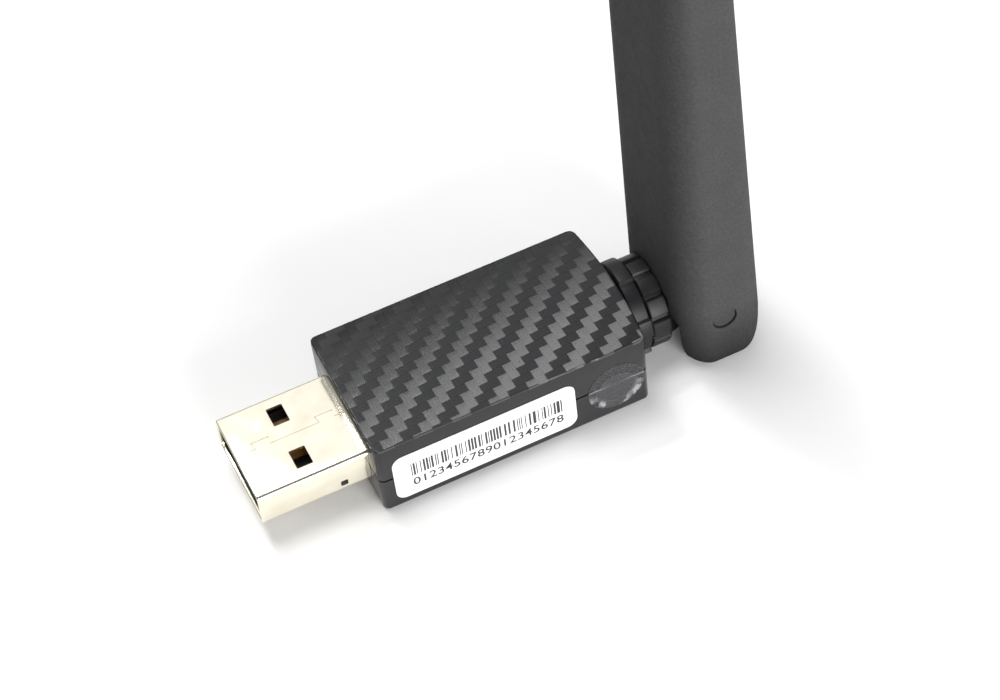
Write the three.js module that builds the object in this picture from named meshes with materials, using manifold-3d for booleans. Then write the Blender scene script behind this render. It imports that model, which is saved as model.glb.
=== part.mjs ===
// USB wireless network adapter: a short stick with a USB-A plug at the front and a paddle
// antenna at the rear, on a joint that swivels about the stick and folds the paddle down.
//
// Millimetres, +Z up. The origin is the centre of the case's underside. +X runs from the
// plug towards the antenna, and the side with the serial label faces -Y.

import * as THREE from 'three';
import { mergeVertices } from 'three/addons/utils/BufferGeometryUtils.js';
import Module from 'manifold-3d';

const wasm = await Module();
wasm.setup();

// ---------------------------------------------------------------- driving dimensions

const SNUG = 0.03; // gap between parts that touch
const RUNNING = 0.07; // radial gap of a turning fit

const CASE_LENGTH = 31;
const CASE_WIDTH = 17.4;
const CASE_HEIGHT = 10.3;
const CASE_WALL = 1.1;
const CASE_CORNER = 0.7; // radius of the upright corners
const UNDERSIDE_EDGE = 0.6; // chamfer round the underside
const REAR_BOW = 0.65; // how far the rear face bulges at its middle
const TOP_PLATE = 0.35;
const ROOF = 0.9;

const PLUG_WIDTH = 12;
const PLUG_HEIGHT = 4.5;
const PLUG_REACH = 12.4; // visible length
const PLUG_TAIL = 4; // length held inside the case
const PLUG_SHEET = 0.3;
const WINDOW = { fromTip: 5.2, length: 1.8, width: 2.5, offset: 3.125 };

const BOARD_WIDTH = 14.4;
const BOARD_THICKNESS = 0.8;
const BOARD_FRONT = -11.3;
const BOARD_REAR = 8.4;
const CONTACT_SHEET = 0.2;

const NECK_RADIUS = 2.6;
const NECK_BORE = 0.95;
const SLEEVE_RADIUS = 3.3;
const FLANGE_RADIUS = 3.8;
const RIM_RADIUS = 5.5;
const HEAD_RADIUS = 5.12; // clears the table when the stick lies flat
const STOP_X = 10.2; // front face of the swivel stop, inside the case
const STOP_LENGTH = 1.2;
const LUG_HALF_ANGLE = 12; // degrees
const COAX_RADIUS = 0.57;

const BARREL_RADIUS = 3.6;
const BARREL_HALF = 3.7; // half the barrel's length along Y
const ARM_HALF = 3.6; // half the width of the arm between head and barrel
const PIN_RADIUS = 1.35;

const PADDLE_HEIGHT = 90;
const PADDLE_THICKNESS = 10.25; // at the foot
const PADDLE_TIP_THICKNESS = 6.6;
const PADDLE_HALF_WIDTH = 8.4;
const PADDLE_CORNER = [3.3, 4.6]; // of its oval section: reach in x, reach in y
const PADDLE_FOOT_ENDS = [1.2, 6.5]; // rounding seen along y: inset, height
const PADDLE_FOOT_SIDES = [0.9, 3.8]; // rounding seen along x: inset, height
const PADDLE_WALL = 1.3;
const FORK_HALF_GAP = 3.9; // between the cheeks, where the barrel turns
const HEAD_HALF_ROOM = 5.8; // between the cheeks' feet, which pass beside the rim and the head
const CAP_HEIGHT = 3;

// ---------------------------------------------------------------- derived places

const FRONT_X = -CASE_LENGTH / 2;
const REAR_X = CASE_LENGTH / 2;
const AXIS_Z = CASE_HEIGHT / 2; // plug centre, parting line and swivel axis
const TIP_X = FRONT_X - PLUG_REACH;
const BOARD_TOP = AXIS_Z - 0.05;
const RIM_X = REAR_X + REAR_BOW + 0.25; // castellated rim behind the rear face
const HEAD_X = RIM_X + 1.8;
const HEAD_END = HEAD_X + 2.2;
const PADDLE_BACK = HEAD_END + 0.12; // paddle face that looks at the stick
const PIVOT_X = PADDLE_BACK + 4.48;
const PIVOT_Z = 7.55;
const SLOT_ROOF = BARREL_RADIUS + 0.35; // above the pivot
const HEAD_SWEEP = PIVOT_X - HEAD_END - 0.1; // the head stays outside this radius of the pivot
const CAVITY_FLOOR = SLOT_ROOF + 1.6; // above the pivot

// ---------------------------------------------------------------- shapes and solids

/** Closed outline through a list of [x, y] points. */
function outline(points) {
  return new THREE.Shape(points.map(([x, y]) => new THREE.Vector2(x, y)));
}

function circle(radius, segments = 32, cx = 0, cy = 0) {
  const points = [];
  for (let i = 0; i < segments; i++) {
    const angle = (i * 2 * Math.PI) / segments;
    points.push([cx + radius * Math.cos(angle), cy + radius * Math.sin(angle)]);
  }
  return outline(points);
}

function rectangle(x0, x1, y0, y1) {
  return outline([[x0, y0], [x1, y0], [x1, y1], [x0, y1]]);
}

/** Rectangle with round corners, or oval ones, each of `steps` straight pieces. */
function roundedRectangle(x0, x1, y0, y1, radius, steps = 4, radiusY = radius) {
  const centres = [
    [x1 - radius, y1 - radiusY],
    [x0 + radius, y1 - radiusY],
    [x0 + radius, y0 + radiusY],
    [x1 - radius, y0 + radiusY],
  ];
  const points = [];
  centres.forEach(([cx, cy], quarter) => {
    for (let i = 0; i <= steps; i++) {
      const angle = ((quarter + i / steps) * Math.PI) / 2;
      points.push([cx + radius * Math.cos(angle), cy + radiusY * Math.sin(angle)]);
    }
  });
  return outline(points);
}

/** Arc of points from one angle to another, in degrees, in pieces of at most 10. */
function arc(radius, from, to) {
  const steps = Math.max(1, Math.ceil((to - from) / 10));
  const points = [];
  for (let i = 0; i <= steps; i++) {
    const angle = THREE.MathUtils.degToRad(from + ((to - from) * i) / steps);
    points.push([radius * Math.cos(angle), radius * Math.sin(angle)]);
  }
  return points;
}

/** Round outline of radius `high` across each tooth's [from, to] angles, and `low` between. */
function castellated(high, low, teeth) {
  const points = [];
  teeth.forEach(([from, to], i) => {
    const next = i + 1 < teeth.length ? teeth[i + 1][0] : teeth[0][0] + 360;
    points.push(...arc(high, from, to), ...arc(low, to, next));
  });
  return outline(points);
}

function extrude(shape, depth) {
  return new THREE.ExtrudeGeometry(shape, { depth, bevelEnabled: false, curveSegments: 8 });
}

/** Geometry into a manifold solid. */
function solid(geometry) {
  const bare = geometry.clone();
  bare.deleteAttribute('normal');
  bare.deleteAttribute('uv');
  const merged = mergeVertices(bare, 1e-5);
  const mesh = new wasm.Mesh({
    numProp: 3,
    vertProperties: new Float32Array(merged.attributes.position.array),
    triVerts: new Uint32Array(merged.index.array),
  });
  return new wasm.Manifold(mesh);
}

/** Outline in (x, y), run from z0 to z1. */
function alongZ(shape, z0, z1) {
  return solid(extrude(shape, z1 - z0).translate(0, 0, z0));
}

/** Outline in (y, z), run from x0 to x1. */
function alongX(shape, x0, x1) {
  const turn = new THREE.Matrix4().makeBasis(
    new THREE.Vector3(0, 1, 0),
    new THREE.Vector3(0, 0, 1),
    new THREE.Vector3(1, 0, 0),
  );
  return solid(extrude(shape, x1 - x0).applyMatrix4(turn).translate(x0, 0, 0));
}

/** Outline in (x, z), run from y0 to y1. */
function alongY(shape, y0, y1) {
  const turn = new THREE.Matrix4().makeBasis(
    new THREE.Vector3(1, 0, 0),
    new THREE.Vector3(0, 0, 1),
    new THREE.Vector3(0, -1, 0),
  );
  return solid(extrude(shape, y1 - y0).applyMatrix4(turn).translate(0, y1, 0));
}

function block(x0, x1, y0, y1, z0, z1) {
  return alongZ(rectangle(x0, x1, y0, y1), z0, z1);
}

/** Round cord along a smooth curve through the points. */
function cord(points, radius, steps) {
  const path = new THREE.CatmullRomCurve3(points.map((p) => new THREE.Vector3(...p)));
  return new THREE.ExtrudeGeometry(circle(radius, 8), {
    steps,
    extrudePath: path,
    bevelEnabled: false,
  });
}

/** Manifold solid back into a three.js geometry. */
function geometryOf(manifold) {
  const mesh = manifold.getMesh();
  const geometry = new THREE.BufferGeometry();
  const positions = new Float32Array((mesh.vertProperties.length / mesh.numProp) * 3);
  for (let i = 0; i < positions.length / 3; i++) {
    for (let k = 0; k < 3; k++) positions[3 * i + k] = mesh.vertProperties[mesh.numProp * i + k];
  }
  geometry.setAttribute('position', new THREE.BufferAttribute(positions, 3));
  geometry.setIndex(new THREE.BufferAttribute(new Uint32Array(mesh.triVerts), 1));
  geometry.computeVertexNormals();
  return geometry;
}

function piece(name, shape, material) {
  const geometry = shape.isBufferGeometry ? shape : geometryOf(shape);
  const mesh = new THREE.Mesh(geometry, material());
  mesh.name = name;
  return mesh;
}

// ---------------------------------------------------------------- materials

function finish(color, roughness, metalness = 0) {
  return () => new THREE.MeshStandardMaterial({ color, roughness, metalness });
}

const casePlastic = finish(0x4b4b50, 0.5);
const softPlastic = finish(0x55565a, 0.65);
const hingePlastic = finish(0x3a3a3e, 0.4);
const carbonFilm = finish(0x3a3b42, 0.3);
const plugMetal = finish(0xd9d2c0, 0.25, 1);
const springMetal = finish(0xb8babd, 0.35, 1);
const goldPlate = finish(0xd4a650, 0.3, 1);
const copper = finish(0xb8714a, 0.4, 1);
const blackPlastic = finish(0x151517, 0.5);
const boardGreen = finish(0x1f5a3a, 0.45);
const chipBlack = finish(0x1b1b1d, 0.55);
const ceramic = finish(0xb39a78, 0.6);
const labelPaper = finish(0xf4f4f2, 0.5);
const clearFilm = finish(0xdfe3e6, 0.15);
const cordJacket = finish(0x1d1d1f, 0.5);
const foam = finish(0x2c2c2e, 0.95);

// ---------------------------------------------------------------- plug

function plugShell() {
  const halfWidth = PLUG_WIDTH / 2;
  const halfHeight = PLUG_HEIGHT / 2;
  const tube = (inset, radius) => roundedRectangle(
    -halfWidth + inset, halfWidth - inset,
    AXIS_Z - halfHeight + inset, AXIS_Z + halfHeight - inset, radius,
  );
  const rear = FRONT_X + PLUG_TAIL;
  let shell = alongX(tube(0, 0.6), TIP_X, rear)
    .subtract(alongX(tube(PLUG_SHEET, 0.3), TIP_X - 1, rear + 1));
  const start = TIP_X + WINDOW.fromTip;
  for (const side of [-1, 1]) {
    const middle = side * WINDOW.offset;
    const window = rectangle(
      start, start + WINDOW.length, middle - WINDOW.width / 2, middle + WINDOW.width / 2,
    );
    shell = shell.subtract(alongZ(window, AXIS_Z - PLUG_HEIGHT, AXIS_Z + PLUG_HEIGHT));
  }
  // small latch hole in each side wall, near the case
  const latch = rectangle(FRONT_X - 3.4, FRONT_X - 2.6, AXIS_Z - 1.35, AXIS_Z - 0.6);
  return shell.subtract(alongY(latch, -PLUG_WIDTH, PLUG_WIDTH));
}

function plugTongue() {
  const halfWidth = PLUG_WIDTH / 2 - PLUG_SHEET - SNUG;
  const floor = AXIS_Z - PLUG_HEIGHT / 2 + PLUG_SHEET + SNUG;
  const section = roundedRectangle(-halfWidth, halfWidth, floor, BOARD_TOP - SNUG, 0.4);
  return alongX(section, TIP_X + 0.6, FRONT_X + PLUG_TAIL - 0.2);
}

/** A contact strip: a flat spring along the tongue whose tail is soldered to the board. */
function plugContact(middle, fromTip) {
  const tail = BOARD_FRONT + 1.8;
  const low = BOARD_TOP + SNUG;
  return block(TIP_X + fromTip, tail, middle - 0.5, middle + 0.5, low, low + CONTACT_SHEET);
}

// ---------------------------------------------------------------- case

/** Plan of the case, drawn in by `inset`; the rear edge is one shallow arc. */
function casePlan(inset) {
  const x0 = FRONT_X + inset;
  const x1 = REAR_X - inset;
  const half = CASE_WIDTH / 2 - inset;
  const corner = Math.max(CASE_CORNER - inset, 0.15);
  const points = [];
  const rearSteps = 12;
  for (let i = 0; i <= rearSteps; i++) {
    const y = (half - corner) * ((2 * i) / rearSteps - 1);
    points.push([x1 + REAR_BOW * (1 - (y / half) ** 2), y]);
  }
  points.push([x1 - corner, half], [x0 + corner, half]);
  points.push([x0 + 0.3 * corner, half - 0.3 * corner], [x0, half - corner]);
  points.push([x0, corner - half], [x0 + 0.3 * corner, 0.3 * corner - half]);
  points.push([x0 + corner, -half], [x1 - corner, -half]);
  return outline(points);
}

/** What both half shells are open for: the plug at the front and the bush at the rear. */
function casePassages() {
  const halfWidth = PLUG_WIDTH / 2 + 2 * SNUG;
  const halfHeight = PLUG_HEIGHT / 2 + 2 * SNUG;
  const plugHole = roundedRectangle(
    -halfWidth, halfWidth, AXIS_Z - halfHeight, AXIS_Z + halfHeight, 0.6,
  );
  const bushHole = circle(SLEEVE_RADIUS + 2 * SNUG, 32, 0, AXIS_Z);
  return alongX(plugHole, FRONT_X - 1, FRONT_X + CASE_WALL + 1)
    .add(alongX(bushHole, REAR_X - CASE_WALL - 1, REAR_X + REAR_BOW + 1));
}

function lowerShell() {
  const top = AXIS_Z - SNUG;
  const body = alongZ(casePlan(0), UNDERSIDE_EDGE, top)
    .add(alongZ(casePlan(UNDERSIDE_EDGE / 2), 0, UNDERSIDE_EDGE));
  const hollow = alongZ(casePlan(CASE_WALL), CASE_WALL, top + 1);
  const inside = CASE_WIDTH / 2 - CASE_WALL + 0.2;
  const boardUnderside = BOARD_TOP - BOARD_THICKNESS;
  let shell = body.subtract(hollow);
  for (const side of [-1, 1]) {
    const inner = side * (BOARD_WIDTH / 2 - 1);
    const outer = side * inside;
    shell = shell.add(block(BOARD_FRONT + 1, BOARD_REAR - 0.5, Math.min(inner, outer),
      Math.max(inner, outer), CASE_WALL - 0.1, boardUnderside - SNUG));
  }
  // cross rib that cradles the neck, with flat tops that stop the swivel's lug
  const lugReach = Math.sin(THREE.MathUtils.degToRad(LUG_HALF_ANGLE));
  const ribTop = AXIS_Z - (NECK_RADIUS + 0.9) * lugReach - 2 * SNUG;
  const cradle = circle(NECK_RADIUS + 0.2, 32, 0, AXIS_Z);
  const rib = block(STOP_X, STOP_X + STOP_LENGTH, -inside, inside, CASE_WALL - 0.1, ribTop)
    .subtract(alongX(cradle, STOP_X - 1, STOP_X + STOP_LENGTH + 1));
  return shell.add(rib).subtract(casePassages());
}

function upperShell() {
  const bottom = AXIS_Z + SNUG;
  const top = CASE_HEIGHT - TOP_PLATE - SNUG;
  const hollow = alongZ(casePlan(CASE_WALL), bottom - 1, top - ROOF);
  let shell = alongZ(casePlan(0), bottom, top).subtract(hollow);
  // ribs that hold the board down on the lower shell's ledges
  for (const side of [-1, 1]) {
    const inner = side * (BOARD_WIDTH / 2 - 0.6);
    const outer = side * (CASE_WIDTH / 2 - CASE_WALL + 0.2);
    shell = shell.add(block(BOARD_FRONT + 1, BOARD_REAR - 0.5, Math.min(inner, outer),
      Math.max(inner, outer), bottom, top - ROOF + 0.1));
  }
  return shell.subtract(casePassages());
}

function topPlate() {
  return alongZ(casePlan(0), CASE_HEIGHT - TOP_PLATE, CASE_HEIGHT);
}

function serialLabel() {
  const side = -CASE_WIDTH / 2 - SNUG;
  return alongY(roundedRectangle(FRONT_X + 1.5, FRONT_X + 22.5, 1.35, 8.05, 1.2), side - 0.1, side);
}

function clearSeal() {
  const side = -CASE_WIDTH / 2 - SNUG;
  return alongY(circle(3.3, 32, REAR_X - 3.7, AXIS_Z - 0.5), side - 0.06, side);
}

// ---------------------------------------------------------------- board

function mainBoard() {
  const half = BOARD_WIDTH / 2;
  return alongZ(roundedRectangle(BOARD_FRONT, BOARD_REAR, -half, half, 0.5),
    BOARD_TOP - BOARD_THICKNESS, BOARD_TOP);
}

/** Rectangular component on the board's top face, given by centre, size and height. */
function boardPart(x, y, length, width, height) {
  const low = BOARD_TOP + SNUG;
  return block(x - length / 2, x + length / 2, y - width / 2, y + width / 2, low, low + height);
}

function shieldCan(x, y, length, width, height) {
  const low = BOARD_TOP + SNUG;
  const sheet = 0.2;
  const hollow = block(x - length / 2 + sheet, x + length / 2 - sheet,
    y - width / 2 + sheet, y + width / 2 - sheet, low - 1, low + height - sheet);
  return boardPart(x, y, length, width, height).subtract(hollow);
}

const SOCKET_X = 5.4;
const SOCKET_BASE = 0.35;
const PLUG_TOP = 1.4; // height of the coax plug over the board

function coaxSocket() {
  const low = BOARD_TOP + SNUG;
  const post = alongZ(circle(0.9, 20, SOCKET_X, 0), low, low + 1);
  return boardPart(SOCKET_X, 0, 2.6, 2.6, SOCKET_BASE).add(post);
}

function coaxPlug() {
  const low = BOARD_TOP + SOCKET_BASE + 2 * SNUG;
  const top = BOARD_TOP + PLUG_TOP;
  const crimp = block(SOCKET_X + 0.8, SOCKET_X + 2.2, -0.75, 0.75, low, top);
  const ring = alongZ(circle(1.3, 24, SOCKET_X, 0), low, top);
  const hollow = alongZ(circle(0.95, 20, SOCKET_X, 0), low - 1, top - 0.15);
  return ring.add(crimp).subtract(hollow);
}

// ---------------------------------------------------------------- swivel

/** Teeth of the rim, by angle from +Y towards +Z: a wide and a narrow one in each half turn. */
function rimTeeth() {
  return [0, 180].flatMap((turn) => [[turn + 34, turn + 100], [turn + 152, turn + 175]]);
}

/** Twelve even teeth round the knuckle's head. */
function headTeeth() {
  return Array.from({ length: 12 }, (_, i) => [i * 30 + 11.5, i * 30 + 34.5]);
}

/** Bush held by the two half shells; its castellated rim, flat below, shows behind the case. */
function swivelBush() {
  const rim = alongX(castellated(RIM_RADIUS, RIM_RADIUS - 0.5, rimTeeth()), RIM_X, HEAD_X - 0.1)
    .subtract(block(0, HEAD_END, -RIM_RADIUS, RIM_RADIUS, -2 * RIM_RADIUS, SNUG - AXIS_Z));
  const wall = REAR_X - CASE_WALL;
  const sleeve = alongX(circle(SLEEVE_RADIUS), wall - 0.5, RIM_X + 0.1);
  const flange = alongX(circle(FLANGE_RADIUS), wall - 1.1, wall - SNUG);
  const bore = alongX(circle(NECK_RADIUS + RUNNING), wall - 3, HEAD_X + 1);
  return rim.add(sleeve).add(flange).subtract(bore);
}

const CLIP_X = 11.9;
const CLIP_THICKNESS = 0.5;

/** Neck, castellated head, arm and barrel in one moulding; z is measured from the axis. */
function knuckle() {
  const pivotZ = PIVOT_Z - AXIS_Z;
  const neck = alongX(circle(NECK_RADIUS), STOP_X, HEAD_X + 0.2);
  const groove = alongX(circle(NECK_RADIUS + 1), CLIP_X, CLIP_X + CLIP_THICKNESS + 0.1)
    .subtract(alongX(circle(NECK_RADIUS - 0.5), CLIP_X - 1, CLIP_X + 2));
  const head = alongX(castellated(HEAD_RADIUS, HEAD_RADIUS - 0.4, headTeeth()), HEAD_X, HEAD_END);
  const arm = alongY(outline([
    [HEAD_END - 0.2, -3],
    [PIVOT_X, pivotZ - 3.4],
    [PIVOT_X, pivotZ + 3.4],
    [HEAD_END - 0.2, 2.7],
  ]), -ARM_HALF, ARM_HALF);
  const barrel = alongY(circle(BARREL_RADIUS, 40, PIVOT_X, pivotZ), -BARREL_HALF, BARREL_HALF);
  const pinHole = alongY(circle(PIN_RADIUS + RUNNING, 24, PIVOT_X, pivotZ), -8, 8);
  const bore = alongX(circle(NECK_BORE, 16), STOP_X - 1, PIVOT_X - 3);
  // pocket that lets the cable turn with the paddle, from straight up to straight back
  const pocket = alongY(outline([
    [PIVOT_X - 4, -NECK_BORE],
    [PIVOT_X + 0.6, pivotZ - 1.7],
    [PIVOT_X + 5, pivotZ - 1.7],
    [PIVOT_X + 5, pivotZ + 5],
    [PIVOT_X - 1.7, pivotZ + 5],
    [PIVOT_X - 1.7, pivotZ + 0.6],
    [PIVOT_X - 4, NECK_BORE],
  ]), -1.3, 1.3);
  return neck.subtract(groove).add(stopLug()).add(head).add(arm).add(barrel)
    .subtract(pinHole).subtract(bore).subtract(pocket);
}

/** Tooth on the neck's inner end that meets the cross rib after a quarter turn each way. */
function stopLug() {
  const points = [];
  const steps = 4;
  for (const radius of [NECK_RADIUS - 0.3, NECK_RADIUS + 0.9]) {
    for (let i = 0; i <= steps; i++) {
      const sweep = radius < NECK_RADIUS ? steps - i : i;
      const angle = THREE.MathUtils.degToRad(90 + LUG_HALF_ANGLE * ((2 * sweep) / steps - 1));
      points.push([radius * Math.cos(angle), radius * Math.sin(angle)]);
    }
  }
  return alongX(outline(points.reverse()), STOP_X, STOP_X + STOP_LENGTH - 0.2);
}

/** Spring clip with an open side, snapped into the neck's groove. */
function retainingClip() {
  const x0 = CLIP_X + 0.05;
  const ring = alongX(circle(3.5), x0, x0 + CLIP_THICKNESS - 0.05)
    .subtract(alongX(circle(NECK_RADIUS - 0.42), x0 - 1, x0 + 2));
  return ring.subtract(block(x0 - 1, x0 + 2, -1.6, 1.6, -5, -0.5));
}

function frictionWasher() {
  const x0 = CLIP_X + CLIP_THICKNESS + 0.15;
  return alongX(circle(3.5), x0, REAR_X - CASE_WALL - 1.1 - SNUG)
    .subtract(alongX(circle(NECK_RADIUS + RUNNING), x0 - 1, x0 + 3));
}

// ---------------------------------------------------------------- paddle antenna

/** Thins a geometry towards the tip: the back face stays upright, the front one leans in. */
function taper(geometry) {
  const position = geometry.attributes.position;
  const back = PADDLE_BACK - PIVOT_X;
  const loss = 1 - PADDLE_TIP_THICKNESS / PADDLE_THICKNESS;
  for (let i = 0; i < position.count; i++) {
    const height = (position.getZ(i) + PIVOT_Z) / PADDLE_HEIGHT;
    position.setX(i, back + (position.getX(i) - back) * (1 - loss * height));
  }
  return geometry;
}

/** Stretch of the paddle's outer form, drawn in by `inset`; z is measured from the pivot. */
function paddleForm(inset, z0, z1) {
  const back = PADDLE_BACK - PIVOT_X;
  const half = PADDLE_HALF_WIDTH - inset;
  const section = roundedRectangle(back + inset, back + PADDLE_THICKNESS - inset, -half, half,
    PADDLE_CORNER[0] - inset / 2, 6, PADDLE_CORNER[1] - inset / 2);
  return solid(taper(extrude(section, z1 - z0).translate(0, 0, z0)));
}

/** Room for the barrel and the arm, which swings from straight back to straight down. */
function barrelRoom() {
  const overArm = 1.05; // top of the opening in the back face, measured from the pivot
  const underFront = -3.6; // top of the opening in the front face
  const out = 20; // well outside the paddle
  const points = arc(SLOT_ROOF, 0, 164);
  points.push([-out, overArm], [-out, -out], [out, -out], [out, underFront]);
  points.push([PADDLE_THICKNESS - 4.2, underFront]);
  return alongY(outline(points), -FORK_HALF_GAP, FORK_HALF_GAP);
}

/** Room for the head, which passes between the feet of the cheeks as the paddle folds. */
function headRoom() {
  const entry = 192; // angle at which the head's end face first reaches the back face
  const out = 20; // well outside the paddle
  const points = arc(HEAD_SWEEP, entry, 270);
  points.push([out, -HEAD_SWEEP], [out, -out], [-out, -out], [-out, points[0][1]]);
  return alongY(outline(points), -HEAD_HALF_ROOM, HEAD_HALF_ROOM);
}

function antennaSheath() {
  const foot = -PIVOT_Z;
  const top = PADDLE_HEIGHT - PIVOT_Z - CAP_HEIGHT;
  const back = PADDLE_BACK - PIVOT_X;
  const half = PADDLE_HALF_WIDTH;
  const front = back + PADDLE_THICKNESS;
  const [endInset, endHeight] = PADDLE_FOOT_ENDS;
  const [sideInset, sideHeight] = PADDLE_FOOT_SIDES;
  const footEnds = alongY(
    roundedRectangle(back, front, foot, top + 20, endInset, 5, endHeight), -half - 1, half + 1,
  );
  const footSides = alongX(
    roundedRectangle(-half, half, foot, top + 20, sideInset, 5, sideHeight), back - 1, front + 1,
  );
  const cableHole = alongZ(circle(1.1, 16), 0, CAVITY_FLOOR + 1);
  const pinHole = alongY(circle(PIN_RADIUS + 0.05, 24), -9, 9);
  return paddleForm(0, foot, top).intersect(footEnds).intersect(footSides)
    .subtract(barrelRoom())
    .subtract(headRoom())
    .subtract(paddleForm(PADDLE_WALL, CAVITY_FLOOR, top + 1))
    .subtract(cableHole)
    .subtract(pinHole);
}

function tipCap() {
  const top = PADDLE_HEIGHT - PIVOT_Z;
  const seat = top - CAP_HEIGHT;
  return paddleForm(0, seat + SNUG, top).add(paddleForm(PADDLE_WALL + 0.1, seat - 1.5, seat + 0.5));
}

function hingePin(side) {
  const inner = 2;
  const outer = PADDLE_HALF_WIDTH - 0.05;
  return alongY(circle(PIN_RADIUS, 24), side > 0 ? inner : -outer, side > 0 ? outer : -inner);
}

const ANTENNA_BOARD = { back: -2, thickness: 0.8, halfWidth: 5, low: 11, high: 74 };
const FEED_HEIGHT = 42; // above the pivot, where the cable meets the board

function antennaBoard() {
  const { back, thickness, halfWidth, low, high } = ANTENNA_BOARD;
  return block(back, back + thickness, -halfWidth, halfWidth, low, high);
}

/** Copper arm of the dipole on the board's rear face, from z0 to z1. */
function dipoleArm(z0, z1) {
  const face = ANTENNA_BOARD.back - SNUG;
  return block(face - 0.1, face, -4, 4, z0, z1);
}

function foamPad(z0, z1) {
  const low = ANTENNA_BOARD.back + ANTENNA_BOARD.thickness + 0.1;
  return block(low, low + 1.6, -4.5, 4.5, z0, z1);
}

// ---------------------------------------------------------------- assembly

function stick() {
  const group = new THREE.Group();
  group.add(
    piece('usb_shell', plugShell(), plugMetal),
    piece('usb_tongue', plugTongue(), blackPlastic),
    piece('contact_supply', plugContact(-3.5, 1.2), goldPlate),
    piece('contact_data_minus', plugContact(-1, 2.2), goldPlate),
    piece('contact_data_plus', plugContact(1, 2.2), goldPlate),
    piece('contact_ground', plugContact(3.5, 1.2), goldPlate),
    piece('lower_shell', lowerShell(), casePlastic),
    piece('upper_shell', upperShell(), casePlastic),
    piece('top_plate', topPlate(), carbonFilm),
    piece('serial_label', serialLabel(), labelPaper),
    piece('clear_seal', clearSeal(), clearFilm),
    piece('main_board', mainBoard(), boardGreen),
    piece('wifi_chip', boardPart(-2.2, 0, 6, 6, 0.85), chipBlack),
    piece('shield_can', shieldCan(-1.6, 0, 9, 10, 1.7), springMetal),
    piece('crystal', boardPart(-8.2, 4.6, 2.5, 2, 0.6), springMetal),
    piece('voltage_regulator', boardPart(-8.4, -4.9, 1.6, 2.9, 1.1), chipBlack),
    piece('power_inductor', boardPart(-8.2, 0.6, 2.6, 2.6, 1.2), chipBlack),
    piece('input_capacitor', boardPart(-8.3, -2.2, 2, 1.25, 1), ceramic),
    piece('output_capacitor', boardPart(-8.2, 2.8, 2, 0.9, 0.9), ceramic),
    piece('front_end_chip', boardPart(5, 4.4, 3, 3, 0.75), chipBlack),
    piece('band_filter', boardPart(5.2, -3.6, 2, 1.25, 0.7), ceramic),
    piece('coax_socket', coaxSocket(), goldPlate),
    piece('coax_plug', coaxPlug(), springMetal),
    piece('coax_board_run', boardCoax(), cordJacket),
    piece('swivel_bush', swivelBush().translate([0, 0, AXIS_Z]), hingePlastic),
  );
  return group;
}

/** Coaxial lead from the plug on the board to the neck of the swivel. */
function boardCoax() {
  const height = BOARD_TOP + PLUG_TOP - 0.6;
  const start = SOCKET_X + 2.2 + SNUG;
  return cord([
    [start, 0, height],
    [start + 0.7, 0, height],
    [start + 1.8, 0, AXIS_Z + 0.12],
    [STOP_X - 0.05, 0, AXIS_Z],
  ], COAX_RADIUS, 6);
}

function swivel() {
  const group = new THREE.Group();
  group.position.set(0, 0, AXIS_Z);
  const pivotZ = PIVOT_Z - AXIS_Z;
  const coax = cord([
    [STOP_X + 0.3, 0, 0],
    [PIVOT_X - 5, 0, 0],
    [PIVOT_X - 2.9, 0, 0.45],
    [PIVOT_X - 0.9, 0, pivotZ - 0.9],
  ], COAX_RADIUS, 14);
  group.add(
    piece('knuckle', knuckle(), hingePlastic),
    piece('retaining_clip', retainingClip(), springMetal),
    piece('friction_washer', frictionWasher(), blackPlastic),
    piece('coax_knuckle_run', coax, cordJacket),
  );
  return group;
}

function antenna() {
  const group = new THREE.Group();
  group.position.set(PIVOT_X, 0, PIVOT_Z);
  const { back, thickness } = ANTENNA_BOARD;
  const coax = cord([
    [0, 0, 0.4],
    [0, 0, ANTENNA_BOARD.low],
    [0, 0, FEED_HEIGHT - 10],
    [back + thickness + COAX_RADIUS + 0.1, 0, FEED_HEIGHT],
  ], COAX_RADIUS, 16);
  group.add(
    piece('antenna_sheath', antennaSheath(), softPlastic),
    piece('antenna_tip_cap', tipCap(), softPlastic),
    piece('hinge_pin_label_side', hingePin(-1), hingePlastic),
    piece('hinge_pin_far_side', hingePin(1), hingePlastic),
    piece('antenna_board', antennaBoard(), boardGreen),
    piece('dipole_lower_arm', dipoleArm(FEED_HEIGHT - 27, FEED_HEIGHT - 0.5), copper),
    piece('dipole_upper_arm', dipoleArm(FEED_HEIGHT + 0.5, FEED_HEIGHT + 27), copper),
    piece('coax_antenna_run', coax, cordJacket),
    piece('foam_pad', foamPad(FEED_HEIGHT + 12, FEED_HEIGHT + 24), foam),
  );
  return group;
}

const adapter = new THREE.Group();
adapter.add(stick(), swivel(), antenna());

export default adapter;
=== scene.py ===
"""Looks of the USB wireless adapter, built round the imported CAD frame.

Lengths are in millimetres inside the helpers and become metres when a mesh is made.
+X runs from the plug to the antenna, -Y is the side with the label, +Z is up.
"""

import math
import random

import bmesh
import bpy
from mathutils import Matrix, Vector


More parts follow.
